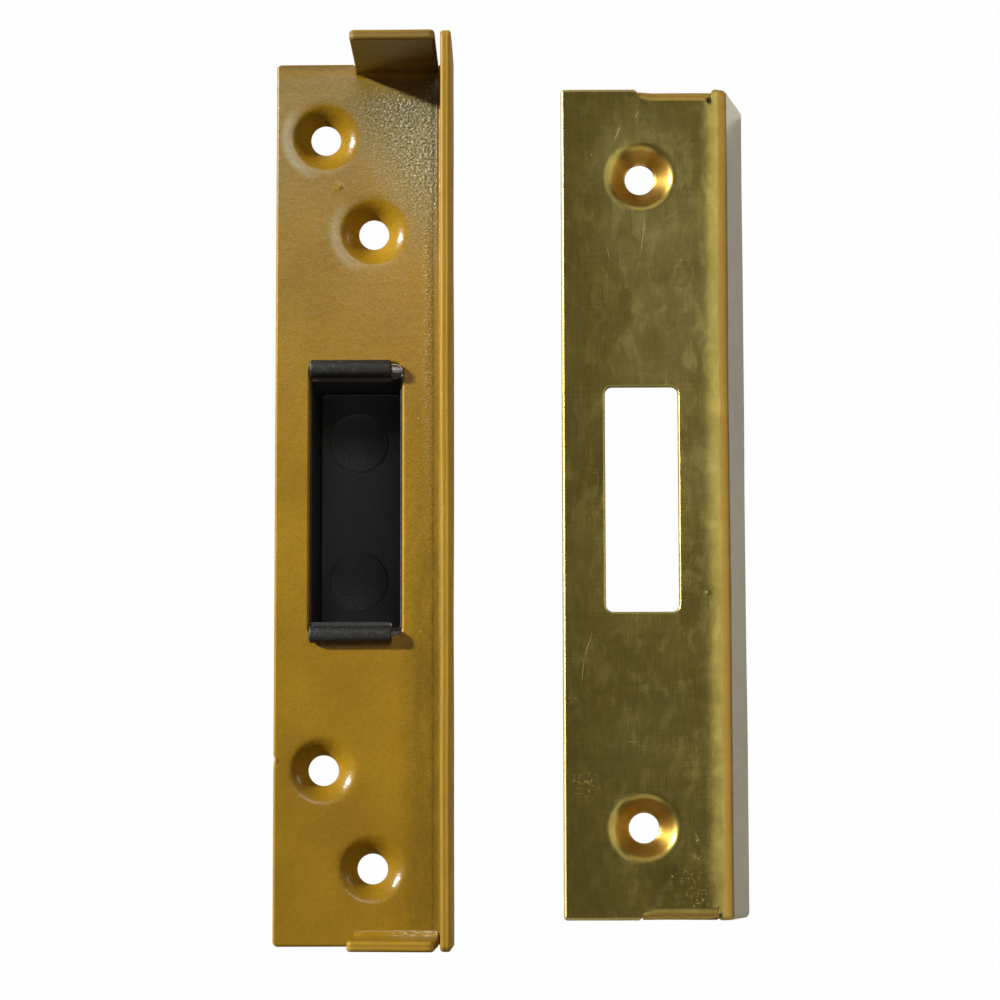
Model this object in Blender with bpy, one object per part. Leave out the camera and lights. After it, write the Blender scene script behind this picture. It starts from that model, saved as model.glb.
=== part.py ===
"""Rebate kit for a mortice deadlock: a folded steel strike with its push-in
plastic dust socket, and the folded brass forend cover, laid side by side
face up.  Metres, +Z up; +X runs across the plates, +Y along them, and the
plate faces look up.  The origin is at the bottom centre of the whole set.
"""
import math

import bmesh
import bpy
from mathutils import Vector
from mathutils.geometry import delaunay_2d_cdt

# --------------------------------------------------------------------------
# Driving dimensions, millimetres
# --------------------------------------------------------------------------
GAP = 0.3                    # air kept between pieces that touch

# strike plate (painted steel)
ST_SHEET = 1.45              # sheet with its paint
ST_LENGTH = 125.0            # along Y
ST_WIDTH = 25.3              # free edge to the outer face of the flange
ST_RISE = 18.0               # flange and tabs above the front face
ST_BEND_IN = 0.4             # inside bend radius
ST_TAB_X = (11.4, 23.1)      # end tabs, from the free edge
ST_SLIT = 0.35               # shear slit beside each tab
ST_WINDOW = (13.0, 38.6)     # bolt window, X by Y
ST_WINDOW_X = 4.95           # free edge to the window
ST_WINDOW_R = 1.1
ST_HOLES = ((6.95, 51.8), (13.85, 38.1),   # staggered pair at each end
            (6.95, -38.1), (13.85, -51.8))
ST_FRONT_Z = 15.5            # front face above the table

# forend cover (brass)
FC_SHEET = 1.2
FC_LENGTH = 118.0
FC_BEND_X = 21.8             # free edge to the start of the flange bend
FC_BEND_OUT = 2.0            # outside bend radius
FC_DROP = 14.5               # face to the free ends of the flange and tabs
FC_FLANGE_TURN = 76.0        # degrees turned: the flange stands 14 off square
FC_TAB_X = (11.0, 21.3)
FC_TAB_SHORT = 0.25          # tab faces lie this far inside the plate ends
FC_SLIT = 0.5
FC_WINDOW = (10.3, 31.9)
FC_WINDOW_X = 6.1
FC_WINDOW_R = 1.0
FC_HOLES = ((11.3, 46.2), (11.3, -46.2))

# pressed countersinks for No. 8 wood screws, measured on the sheet's middle
CS_R = 5.0                   # where the dimple starts
CS_FILLET = 0.8              # radial run of the rounded rim
CS_ANGLE = 42.0              # slope of the cone, degrees
CS_TOE_R = 2.95              # cone ends, bowl starts
CS_TOE_ANGLE = 18.0          # slope at the hole
HOLE_R = 2.22                # hole radius on the sheet's middle

# dust socket (black plastic)
DS_BOX = (12.4, 36.6)        # outside of the pocket, X by Y
DS_WALL = 1.35
DS_BACK = 1.2                # thickness of the back
DS_CORNER_R = 1.2
DS_TOP = -0.75               # wall edges, inside the window
DS_SHIFT = (0.0, -0.35)      # socket sits low in the window
DS_LIP_X = (-6.15, 4.9)      # lips, from the pocket's centre line
DS_LIP_OUT = 20.0            # lip tips, from the pocket's centre
DS_LIP_BACK = 17.6           # where the bead meets its ledge
DS_LIP_H = 1.7               # bead height above the strike's front face
DS_LEDGE = -0.2
DS_DISC_R = 4.4              # moulding marks in the back
DS_DISC_AT = (-0.4, 10.1)
DS_DISC_DEEP = 0.3
DS_RIB = (1.2, 0.3)          # locating ribs on the end walls: width, height

SET_GAP = 15.2               # strike flange to forend cover

MM = 0.001
BEND_STEPS = 5
HOLE_SEGS = 28


# --------------------------------------------------------------------------
# Materials
# --------------------------------------------------------------------------
def principled(name, colour, roughness, metallic):
    mat = bpy.data.materials.new(name)
    mat.use_nodes = True
    bsdf = mat.node_tree.nodes["Principled BSDF"]
    bsdf.inputs["Base Color"].default_value = (*colour, 1.0)
    bsdf.inputs["Roughness"].default_value = roughness
    bsdf.inputs["Metallic"].default_value = metallic
    mat.diffuse_color = (*colour, 1.0)
    return mat


def make_object(name, bm, mat, smooth_deg=30.0):
    mesh = bpy.data.meshes.new(name)
    bm.to_mesh(mesh)
    bm.free()
    mesh.materials.append(mat)
    mesh.shade_smooth()
    mesh.set_sharp_from_angle(angle=math.radians(smooth_deg))
    ob = bpy.data.objects.new(name, mesh)
    bpy.context.scene.collection.objects.link(ob)
    return ob


# --------------------------------------------------------------------------
# Folded sheet metal: a flat blank is triangulated, folded about its bend
# lines, dimpled at its screw holes and given its thickness.
# --------------------------------------------------------------------------
def arc(cx, cy, r, a0, a1, n):
    return [(cx + r * math.cos(math.radians(a0 + (a1 - a0) * i / n)),
             cy + r * math.sin(math.radians(a0 + (a1 - a0) * i / n)))
            for i in range(n + 1)]


def round_rect(x0, y0, x1, y1, r, n=4):
    return (arc(x1 - r, y0 + r, r, -90, 0, n) + arc(x1 - r, y1 - r, r, 0, 90, n)
            + arc(x0 + r, y1 - r, r, 90, 180, n) + arc(x0 + r, y0 + r, r, 180, 270, n))


def circle(cx, cy, r, n):
    return [(cx + r * math.cos(2 * math.pi * i / n), cy + r * math.sin(2 * math.pi * i / n))
            for i in range(n)]


def inside(p, loop):
    x, y = p
    hit = False
    for (x0, y0), (x1, y1) in zip(loop, loop[1:] + loop[:1]):
        if (y0 > y) != (y1 > y) and x < (x1 - x0) * (y - y0) / (y1 - y0) + x0:
            hit = not hit
    return hit


def dimple_slope(r):
    """Slope angle (radians) of the pressed countersink at radius r."""
    if r >= CS_R:
        return 0.0
    full, toe = math.radians(CS_ANGLE), math.radians(CS_TOE_ANGLE)
    if r > CS_R - CS_FILLET:
        return full * (CS_R - r) / CS_FILLET
    if r > CS_TOE_R:
        return full
    return toe + (full - toe) * max(0.0, (r - HOLE_R) / (CS_TOE_R - HOLE_R))


def dimple_depth(r, steps=60):
    """Depth of the countersink at radius r: the slope summed from the rim."""
    if r >= CS_R:
        return 0.0
    h = (CS_R - r) / steps
    return sum(math.tan(dimple_slope(CS_R - (i + 0.5) * h)) for i in range(steps)) * h


def fold_sheet(blank, holes, screws, creases, place, thickness):
    """Return a bmesh of the folded, dimpled blank with its full thickness.
    place(u, v) gives a point of the sheet's middle and its front normal."""
    verts, edges = [], []

    def add(loop, closed):
        base = len(verts)
        verts.extend(Vector(p) for p in loop)
        edges.extend((base + i, base + i + 1) for i in range(len(loop) - 1))
        if closed:
            edges.append((base + len(loop) - 1, base))

    add(blank, True)
    for loop in holes:
        add(loop, True)
    for line in creases:
        add(line, False)
    cuts = list(holes)
    radii = [CS_R, CS_R - CS_FILLET / 2, CS_R - CS_FILLET, (CS_R - CS_FILLET + CS_TOE_R) / 2,
             CS_TOE_R, (CS_TOE_R + HOLE_R) / 2]
    for cx, cy in screws:
        for r in radii:
            add(circle(cx, cy, r, HOLE_SEGS), True)
        rim = circle(cx, cy, HOLE_R, HOLE_SEGS)
        add(rim, True)
        cuts.append(rim)

    pts, _, tris = delaunay_2d_cdt(verts, edges, [], 0, 1e-5)[:3]
    kept = []
    for tri in tris:
        c = (sum(pts[i].x for i in tri) / 3, sum(pts[i].y for i in tri) / 3)
        if inside(c, blank) and not any(inside(c, h) for h in cuts):
            kept.append(tri)

    bm = bmesh.new()
    front, back = {}, {}
    for i in sorted({i for tri in kept for i in tri}):
        u, v = pts[i].x, pts[i].y
        p, n = place(u, v)
        for cx, cy in screws:
            r = math.hypot(u - cx, v - cy)
            if r < CS_R:
                a = dimple_slope(r)
                p = p - n * dimple_depth(r)
                n = Vector((-math.sin(a) * (u - cx) / r, -math.sin(a) * (v - cy) / r, math.cos(a)))
        front[i] = bm.verts.new((p + n * thickness / 2) * MM)
        back[i] = bm.verts.new((p - n * thickness / 2) * MM)
    used = {}
    for tri in kept:
        a, b, c = tri
        if (pts[b] - pts[a]).cross(pts[c] - pts[a]) < 0:
            b, c = c, b
        bm.faces.new((front[a], front[b], front[c]))
        bm.faces.new((back[c], back[b], back[a]))
        for e in ((a, b), (b, c), (c, a)):
            used[e] = True
    for a, b in used:
        if (b, a) not in used:
            bm.faces.new((front[b], front[a], back[a], back[b]))
    bmesh.ops.triangulate(bm, faces=[f for f in bm.faces if len(f.verts) > 3])
    bmesh.ops.recalc_face_normals(bm, faces=bm.faces)
    return bm


def folded_plate(length, bend_x, bend_mid_r, turn_deg, flange_len, tab_x, tab_end, tab_len,
                 slit, window, window_x, window_r, holes, direction, tip_r, corner_r, sheet):
    """Blank with one long flange at +X and a tab at each end, folded towards
    direction (+1 up, -1 down).  The free edge is at x = 0, the middle of the
    length at y = 0 and the front face at z = 0."""
    half = length / 2
    turn = math.radians(turn_deg)
    u_bend = bend_mid_r * turn
    u_end = bend_x + u_bend + flange_len
    v0 = tab_end - bend_mid_r - sheet / 2          # tab bend starts
    v_bend = bend_mid_r * math.pi / 2
    v_end = v0 + v_bend + tab_len
    root = v0 - 0.25                               # bottom of the slits
    t0, t1 = tab_x
    mid = -sheet / 2

    upper = (arc(u_end - tip_r, half - tip_r, tip_r, 0, 90, 3)
             + [(t1 + slit, half), (t1 + slit, root), (t1, root)]
             + arc(t1 - tip_r, v_end - tip_r, tip_r, 0, 90, 3)
             + arc(t0 + tip_r, v_end - tip_r, tip_r, 90, 180, 3)
             + [(t0, root), (t0 - slit, root), (t0 - slit, half)]
             + arc(corner_r, half - corner_r, corner_r, 90, 180, 2))
    lower = [(x, -y) for x, y in reversed(upper)]
    blank = upper + lower

    creases = []
    for k in range(BEND_STEPS + 1):
        u = bend_x + u_bend * k / BEND_STEPS
        creases.append([(u, -half), (u, half)])
        v = v0 + v_bend * k / BEND_STEPS
        for s in (1, -1):
            creases.append([(t0, s * v), (t1, s * v)])

    def place(u, v):
        if u > bend_x:                                            # flange
            a = min((u - bend_x) / bend_mid_r, turn)
            s = max(u - bend_x - u_bend, 0.0)
            return (Vector((bend_x + bend_mid_r * math.sin(a) + s * math.cos(turn), v,
                            mid + direction * (bend_mid_r * (1 - math.cos(a)) + s * math.sin(turn)))),
                    Vector((-direction * math.sin(a), 0, math.cos(a))))
        if abs(v) > v0 and t0 - 1e-4 <= u <= t1 + 1e-4:           # end tab
            sign = 1 if v > 0 else -1
            a = min((abs(v) - v0) / bend_mid_r, math.pi / 2)
            s = max(abs(v) - v0 - v_bend, 0.0)
            return (Vector((u, sign * (v0 + bend_mid_r * math.sin(a)),
                            mid + direction * (bend_mid_r * (1 - math.cos(a)) + s))),
                    Vector((0, -direction * sign * math.sin(a), math.cos(a))))
        return Vector((u, v, mid)), Vector((0, 0, 1))

    wx, wy = window
    win = round_rect(window_x, -wy / 2, window_x + wx, wy / 2, window_r)
    return fold_sheet(blank, [win], list(holes), creases, place, sheet)


# --------------------------------------------------------------------------
# Dust socket: a moulded pocket with a bead lip at each end
# --------------------------------------------------------------------------
def prism(loop, axis, lo, hi):
    """Extrude a closed 2-D loop along X ('x') or Z ('z')."""
    bm = bmesh.new()
    if axis == 'z':
        ring = [bm.verts.new((p[0] * MM, p[1] * MM, lo * MM)) for p in loop]
        move = Vector((0, 0, (hi - lo) * MM))
    else:
        ring = [bm.verts.new((lo * MM, p[0] * MM, p[1] * MM)) for p in loop]
        move = Vector(((hi - lo) * MM, 0, 0))
    face = bm.faces.new(ring)
    new = bmesh.ops.extrude_face_region(bm, geom=[face])["geom"]
    bmesh.ops.translate(bm, verts=[v for v in new if isinstance(v, bmesh.types.BMVert)], vec=move)
    bmesh.ops.recalc_face_normals(bm, faces=bm.faces)
    return bm


def tool(name, bm, mat):
    ob = make_object(name, bm, mat)
    ob.hide_render = True
    ob.display_type = 'WIRE'
    return ob


def combine(ob, other, operation):
    mod = ob.modifiers.new(other.name, 'BOOLEAN')
    mod.object = other
    mod.operation = operation
    mod.solver = 'EXACT'


def lip_profile(sign):
    """Bead lip in (y, z): a ledge on the end wall, then a rounded bead that
    hooks over the window's end with air under it."""
    r = (DS_LIP_OUT - DS_LIP_BACK) / 2
    half = DS_BOX[1] / 2
    pts = [(half - DS_WALL + 0.05, -3.0), (half - DS_WALL + 0.05, DS_LEDGE),
           (DS_LIP_BACK, DS_LEDGE)]
    pts += [(DS_LIP_BACK + r - r * math.cos(math.pi * i / 8),
             DS_LIP_H - r + r * math.sin(math.pi * i / 8)) for i in range(9)]
    pts += [(DS_LIP_OUT, GAP), (half - 0.05, GAP), (half - 0.05, -3.0)]
    return [(sign * y, z) for y, z in pts]


def dust_socket(mat):
    bx, by = DS_BOX[0] / 2, DS_BOX[1] / 2
    back = -ST_FRONT_Z
    shell = make_object("dust_socket", prism(round_rect(-bx, -by, bx, by, DS_CORNER_R), 'z',
                                             back, DS_TOP), mat)
    w = DS_WALL
    parts = []
    pocket = tool("pocket_cutter", prism(round_rect(-bx + w, -by + w, bx - w, by - w, 0.8), 'z',
                                         back + DS_BACK, 5.0), mat)
    combine(shell, pocket, 'DIFFERENCE')
    parts.append(pocket)
    for s, tag in ((1, "upper"), (-1, "lower")):
        lip = tool(tag + "_lip", prism(lip_profile(s), 'x', *DS_LIP_X), mat)
        combine(shell, lip, 'UNION')
        disc = tool(tag + "_mark_cutter",
                    prism(circle(DS_DISC_AT[0], s * DS_DISC_AT[1], DS_DISC_R, 32), 'z',
                          back + DS_BACK - DS_DISC_DEEP, 0.0), mat)
        combine(shell, disc, 'DIFFERENCE')
        parts += [lip, disc]
        for sx, side in ((1, "right"), (-1, "left")):
            rw, rh = DS_RIB
            x = sx * 3.4
            y0, y1 = s * (by - 0.4), s * (by + rh)
            rib = tool(tag + "_" + side + "_rib",
                       prism(round_rect(x - rw / 2, min(y0, y1), x + rw / 2, max(y0, y1), 0.15, 2),
                             'z', back + 1.6, -3.2), mat)
            combine(shell, rib, 'UNION')
            parts.append(rib)
    return shell, parts


# --------------------------------------------------------------------------
# The set
# --------------------------------------------------------------------------
def main():
    for ob in list(bpy.data.objects):
        bpy.data.objects.remove(ob)

    paint = principled("gold_paint", (0.34, 0.19, 0.028), 0.38, 0.0)
    brass = principled("brass", (0.62, 0.46, 0.16), 0.30, 1.0)
    plastic = principled("black_plastic", (0.014, 0.014, 0.015), 0.55, 0.0)

    st_mid_r = ST_BEND_IN + ST_SHEET / 2
    st_bend_x = ST_WIDTH - ST_BEND_IN - ST_SHEET
    st_straight = ST_RISE - ST_BEND_IN
    strike = make_object("strike_plate", folded_plate(
        ST_LENGTH, st_bend_x, st_mid_r, 90.0, st_straight, ST_TAB_X, ST_LENGTH / 2, st_straight,
        ST_SLIT, ST_WINDOW, ST_WINDOW_X, ST_WINDOW_R, ST_HOLES, 1, 0.7, 0.5, ST_SHEET), paint)

    fc_mid_r = FC_BEND_OUT - FC_SHEET / 2
    turn = math.radians(FC_FLANGE_TURN)
    half_sheet = FC_SHEET / 2
    fc_flange = ((FC_DROP - half_sheet * math.cos(turn) - half_sheet - fc_mid_r * (1 - math.cos(turn)))
                 / math.sin(turn))
    fc_tab = FC_DROP - half_sheet - fc_mid_r
    cover = make_object("forend_cover", folded_plate(
        FC_LENGTH, FC_BEND_X, fc_mid_r, FC_FLANGE_TURN, fc_flange, FC_TAB_X,
        FC_LENGTH / 2 - FC_TAB_SHORT, fc_tab, FC_SLIT, FC_WINDOW, FC_WINDOW_X, FC_WINDOW_R,
        FC_HOLES, -1, 0.7, 0.5, FC_SHEET), brass)

    socket, socket_parts = dust_socket(plastic)

    # width of the whole set, to centre it on the origin
    cover_reach = (FC_BEND_X + fc_mid_r * math.sin(turn) + fc_flange * math.cos(turn)
                   + half_sheet * math.sin(turn))
    left = -(ST_WIDTH + SET_GAP + cover_reach) / 2

    strike.location = (left * MM, 0, ST_FRONT_Z * MM)
    cover.location = ((left + ST_WIDTH + SET_GAP) * MM, 0, FC_DROP * MM)
    at = ((left + ST_WINDOW_X + ST_WINDOW[0] / 2 + DS_SHIFT[0]) * MM, DS_SHIFT[1] * MM,
          ST_FRONT_Z * MM)
    socket.location = at
    for ob in socket_parts:
        ob.parent = socket


main()
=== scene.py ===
"""Looks of a rebate kit for a mortice deadlock: a gold-painted folded steel
strike with its black plastic dust socket, and a folded brass forend cover,
lying face up on a pale floor.  Local sizes are millimetres until a mesh is
placed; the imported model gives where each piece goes.
"""
import math

import bmesh
import bpy
import numpy as np
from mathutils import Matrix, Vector
from mathutils.geometry import delaunay_2d_cdt


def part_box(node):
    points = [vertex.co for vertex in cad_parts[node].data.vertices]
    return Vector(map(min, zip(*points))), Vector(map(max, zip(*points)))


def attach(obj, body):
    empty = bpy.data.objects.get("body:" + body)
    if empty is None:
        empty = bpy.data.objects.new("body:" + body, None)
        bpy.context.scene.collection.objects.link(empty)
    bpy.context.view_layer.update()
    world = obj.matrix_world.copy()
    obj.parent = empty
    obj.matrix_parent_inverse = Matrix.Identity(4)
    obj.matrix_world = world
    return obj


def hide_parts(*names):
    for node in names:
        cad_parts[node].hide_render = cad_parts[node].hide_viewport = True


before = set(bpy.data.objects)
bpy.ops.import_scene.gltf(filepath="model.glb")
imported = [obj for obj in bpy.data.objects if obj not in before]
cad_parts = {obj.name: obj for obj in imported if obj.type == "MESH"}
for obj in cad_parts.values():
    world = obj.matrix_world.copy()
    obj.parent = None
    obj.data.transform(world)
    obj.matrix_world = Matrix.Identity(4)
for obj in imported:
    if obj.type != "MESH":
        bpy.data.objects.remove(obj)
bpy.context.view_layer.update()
MM = 0.001


# --------------------------------------------------------------------------
# 2-D helpers
# --------------------------------------------------------------------------
def arc(cx, cy, r, a0, a1, n):
    a = np.radians(np.linspace(a0, a1, n + 1))
    return np.column_stack([cx + r * np.cos(a), cy + r * np.sin(a)])


def circle(cx, cy, r, n, turn=0.0):
    a = 2 * np.pi * (np.arange(n) + turn) / n
    return np.column_stack([cx + r * np.cos(a), cy + r * np.sin(a)])


def round_rect(x0, y0, x1, y1, r, n=8):
    return np.vstack([arc(x1 - r, y0 + r, r, -90, 0, n), arc(x1 - r, y1 - r, r, 0, 90, n),
                      arc(x0 + r, y1 - r, r, 90, 180, n), arc(x0 + r, y0 + r, r, 180, 270, n)])


def fillet(corners, n=5):
    """Closed loop through (x, y, radius) corners with each corner rounded."""
    out = []
    k = len(corners)
    for i in range(k):
        p = np.array(corners[i][:2], float)
        r = corners[i][2]
        a = np.array(corners[i - 1][:2], float) - p
        b = np.array(corners[(i + 1) % k][:2], float) - p
        a /= np.linalg.norm(a)
        b /= np.linalg.norm(b)
        if r <= 0:
            out.append(p[None])
            continue
        half = math.acos(max(-1.0, min(1.0, float(a @ b)))) / 2
        d = r / math.tan(half)
        c = p + (a + b) / np.linalg.norm(a + b) * (r / math.sin(half))
        s, e = p + a * d - c, p + b * d - c
        a0, a1 = math.atan2(s[1], s[0]), math.atan2(e[1], e[0])
        da = (a1 - a0 + math.pi) % (2 * math.pi) - math.pi
        t = a0 + da * np.linspace(0, 1, n + 1)
        out.append(c + r * np.column_stack([np.cos(t), np.sin(t)]))
    return tidy(np.vstack(out))


def tidy(loop):
    gap = np.linalg.norm((loop - np.roll(loop, 1, axis=0))[:, :2], axis=1)
    return loop[gap > 1e-4]


def densify(loop, step):
    """Split the edges of a closed loop so that none is longer than step(mid).
    Columns after the first two are carried along."""
    out = []
    for p, q in zip(loop, np.roll(loop, -1, axis=0)):
        d = float(np.linalg.norm((q - p)[:2]))
        marks, t = [], 0.0
        while True:                                    # walk with a local step
            t += step(p + (q - p) * min(1.0, t)) / max(d, 1e-9)
            if t >= 1.0:
                break
            marks.append(t)
        if marks:
            last = marks[-1] + step(p + (q - p) * marks[-1]) / d
            marks = [m / last for m in marks]
        out.append(p)
        out.extend(p + (q - p) * m for m in marks)
    return np.array(out)


def inside(pts, loop):
    x, y = pts[:, 0], pts[:, 1]
    hit = np.zeros(len(pts), bool)
    for (x0, y0), (x1, y1) in zip(loop, np.roll(loop, -1, axis=0)):
        if y0 == y1:
            continue
        cross = ((y0 > y) != (y1 > y)) & (x < (x1 - x0) * (y - y0) / (y1 - y0) + x0)
        hit ^= cross
    return hit


def smooth(x):
    x = np.clip(x, 0.0, 1.0)
    return x * x * (3 - 2 * x)


# --------------------------------------------------------------------------
# Folded sheet metal with rounded edges, pressed countersinks and exact
# normals.  u runs across the flat blank from the free edge, v along it.
# --------------------------------------------------------------------------
class Dimple:
    """Pressed countersink.  The knots are (radius, slope in degrees) from the
    rim inwards; the slope is eased between them and summed to a depth."""

    def __init__(self, knots, hole_r):
        self.r_out, self.hole_r = knots[0][0], hole_r
        r = np.linspace(self.r_out, hole_r - 0.6, 24001)
        kr, ks = np.array(knots[::-1], float).T
        slope = np.radians(np.interp(r, kr, ks))
        w = int(0.09 / (r[0] - r[1]))
        slope = np.convolve(np.pad(slope, w, mode="edge"), np.ones(2 * w + 1) / (2 * w + 1), "valid")
        slope[0] = 0.0
        drop = np.concatenate([[0.0], np.cumsum(np.tan((slope[1:] + slope[:-1]) / 2) * -np.diff(r))])
        self.r, self.drop = r[::-1].copy(), drop[::-1].copy()

    def depth(self, r):
        return np.interp(r, self.r, self.drop, right=0.0)


class Sheet:
    def __init__(self, **k):
        self.__dict__.update(k)
        t = self.t
        self.half = self.length / 2
        self.mid = -t / 2
        self.turn_r = math.radians(self.turn)
        self.v_s = self.tab_end - self.mid_r - t / 2
        self.v_end = self.v_s + self.mid_r * math.pi / 2 + self.tab_len
        self.root = self.v_s - self.root_in
        self.fold_flange()

    # -- the long bend, from its turning angle along the sheet
    def fold_flange(self):
        """The bend turns slowly over ease_in, to ease_deg, and then on a
        radius; it is slid along so that the flange lies where a plain bend
        of mid_r at bend_x would put it."""
        ease, lead = self.ease_in, math.radians(self.ease_deg)
        run = (self.turn_r - lead) * self.mid_r
        total = ease + run
        u = np.linspace(0.0, total, 6001)
        a = np.where(u < ease, lead * smooth(u / max(ease, 1e-9)),
                     lead + (u - ease) / self.mid_r)
        soft = max(3, int(0.18 / (u[1] - u[0])))
        a = np.convolve(np.pad(a, soft, mode="edge"), np.ones(2 * soft + 1) / (2 * soft + 1), "valid")
        a *= self.turn_r / a[-1]
        du = u[1] - u[0]
        x = np.concatenate([[0], np.cumsum(np.cos((a[1:] + a[:-1]) / 2)) * du])
        z = np.concatenate([[0], np.cumsum(np.sin((a[1:] + a[:-1]) / 2)) * du])
        end = a[-1]
        # plain bend's flange line, as its distance along the line's normal
        nx, nz = math.sin(end), -math.cos(end)
        px, pz = self.mid_r * math.sin(self.turn_r), self.mid_r * (1 - math.cos(self.turn_r))
        shift = (nx * px + nz * pz - nx * x[-1] - nz * z[-1]) / nx
        self.fold_u0 = self.bend_x + shift
        self.fold_u, self.fold_x, self.fold_z, self.fold_a = u, x, z, a
        self.fold_len = total
        top = pz + self.flange_len * math.sin(self.turn_r)
        self.u_end = self.fold_u0 + total + (top - z[-1]) / math.sin(end)

    def region(self, u, v):
        """0 plate, 1 flange side, 2 tab."""
        t0, t1 = self.tab_x
        reg = np.zeros(len(u), int)
        past = np.where(np.abs(v) > self.root, t1 + self.slit_r / 2, self.fold_u0 - 0.01)
        reg[u > past] = 1
        tab = (u > t0 - self.slit_l / 2) & (u <= t1 + self.slit_r / 2) & (np.abs(v) > self.root)
        reg[tab] = 2
        return reg

    def tab_radius(self, u):
        t0 = self.tab_x[0]
        return self.tab_tight + (self.mid_r - self.tab_tight) * smooth((u - t0) / self.tab_ease)

    def wave(self, u, v):
        w = np.zeros_like(u)
        for amp, ku, kv, ph in self.waves:
            w += amp * np.sin(2 * np.pi * (u * ku + v * kv) + ph)
        for du, dv, r, h in self.dents:
            w += h * np.exp(-((u - du) ** 2 + (v - dv) ** 2) / (r * r))
        return w

    def surf(self, u, v, reg):
        P = np.column_stack([u, v, np.full(len(u), self.mid)])
        N = np.tile([0.0, 0.0, 1.0], (len(u), 1))
        d = self.direction
        m = (reg == 1) & (u > self.fold_u0)
        if m.any():
            s = u[m] - self.fold_u0
            x = np.interp(s, self.fold_u, self.fold_x)
            z = np.interp(s, self.fold_u, self.fold_z)
            a = np.interp(s, self.fold_u, self.fold_a)
            over = np.maximum(s - self.fold_len, 0.0)
            P[m, 0] = self.fold_u0 + x + over * math.cos(self.fold_a[-1])
            P[m, 2] = self.mid + d * (z + over * math.sin(self.fold_a[-1]))
            N[m] = np.column_stack([-d * np.sin(a), np.zeros(m.sum()), np.cos(a)])
        m = (reg == 2) & (np.abs(v) > self.v_s)
        if m.any():
            sg = np.sign(v[m])
            r = self.tab_radius(u[m])
            v0 = self.tab_end - r - self.t / 2
            s = np.abs(v[m]) - self.v_s
            flat = v0 - self.v_s
            bend = r * np.pi / 2
            a = np.clip((s - flat) / r, 0.0, np.pi / 2)
            rest = np.maximum(s - flat - bend, 0.0)
            k = (self.mid_r + self.tab_len - r) / (self.v_end - self.v_s - flat - bend)
            y = np.where(s < flat, np.abs(v[m]), v0 + r * np.sin(a))
            y = y + np.where(sg < 0, self.low_out, 0.0) * np.sin(a) ** 2
            P[m, 1] = sg * y
            P[m, 2] = self.mid + d * (r * (1 - np.cos(a)) + rest * k)
            N[m] = np.column_stack([np.zeros(m.sum()), -d * sg * np.sin(a), np.cos(a)])
        m = (reg == 2) & (u > self.fold_u0)
        if m.any():                                   # the long bend's start carries on into the tab
            P[m, 2] += d * np.interp(u[m] - self.fold_u0, self.fold_u, self.fold_z)
        lift = self.wave(u, v)
        for cx, cy in self.holes:
            lift = lift - self.dimple.depth(np.hypot(u - cx, v - cy))
        return P + N * lift[:, None], N

    def frame(self, u, v, reg):
        h = 0.004
        P, N0 = self.surf(u, v, reg)
        Pu = (self.surf(u + h, v, reg)[0] - self.surf(u - h, v, reg)[0]) / (2 * h)
        Pv = (self.surf(u, v + h, reg)[0] - self.surf(u, v - h, reg)[0]) / (2 * h)
        N = np.cross(Pu, Pv)
        N /= np.linalg.norm(N, axis=1)[:, None]
        N *= np.sign((N * N0).sum(1))[:, None]
        return P, N, Pu, Pv

    # -- outline of the flat front, set in by the edge rounding, which the
    #    third column gives; the slits have a smaller rounding
    def outline(self):
        e, s, c, m = self.e, self.slit_e, self.corner_r, self.mouth_r
        t0, t1 = self.tab_x
        H = self.half

        def bow(cx, cy, rx, ry, a0, a1, n, e0, e1):
            a = np.radians(np.linspace(a0, a1, n + 1))
            return np.column_stack([cx + rx * np.cos(a), cy + ry * np.sin(a), np.linspace(e0, e1, n + 1)])

        def half(tip):
            k, q = self.slit_r / 2, self.slit_l / 2
            tt = self.tab_tip
            return np.vstack([
                bow(self.u_end - tip, H - tip, tip - e, tip - e, 0, 90, 9, e, e),
                bow(t1 + 2 * k + m, H - m, m - s, m - e, 90, 180, 6, e, s),
                bow(t1 + k, self.root, k + s, k + s, 0, -180, 12, s, s),
                bow(t1 - tt, self.v_end - tt, tt - e, tt - e, 0, 90, 7, e, e),
                bow(t0 + tt, self.v_end - tt, tt - e, tt - e, 90, 180, 7, e, e),
                bow(t0 - q, self.root_l, q + s, q + s, 0, -180, 12, s, s),
                bow(t0 - 2 * q - m, H - m, m - s, m - e, 0, 90, 6, s, e),
                bow(c, H - c, c - e, c - e, 90, 180, 6, e, e)])

        return tidy(np.vstack([half(self.tip_r), half(self.tip_low)[::-1] * [1, -1, 1]]))

    def step(self, p):
        u, v = p[0], abs(p[1])
        if self.fold_u0 - 0.3 < u < self.fold_u0 + self.fold_len + 0.3:
            return 0.14
        if self.v_s - 0.6 < v < self.v_s + self.mid_r * 1.7 and u < self.tab_x[1] + 1:
            return 0.14 if u > self.tab_x[0] - 1 else 0.5
        return 0.6

    def build(self, name):
        e, t = self.e, self.t
        t0, t1 = self.tab_x
        pts, edges = [], []
        count = [0]

        def add(loop, close=True):
            n = len(loop)
            b = count[0]
            pts.append(loop)
            edges.extend((b + i, b + i + 1) for i in range(n - 1))
            if close:
                edges.append((b + n - 1, b))
            count[0] += n

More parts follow.
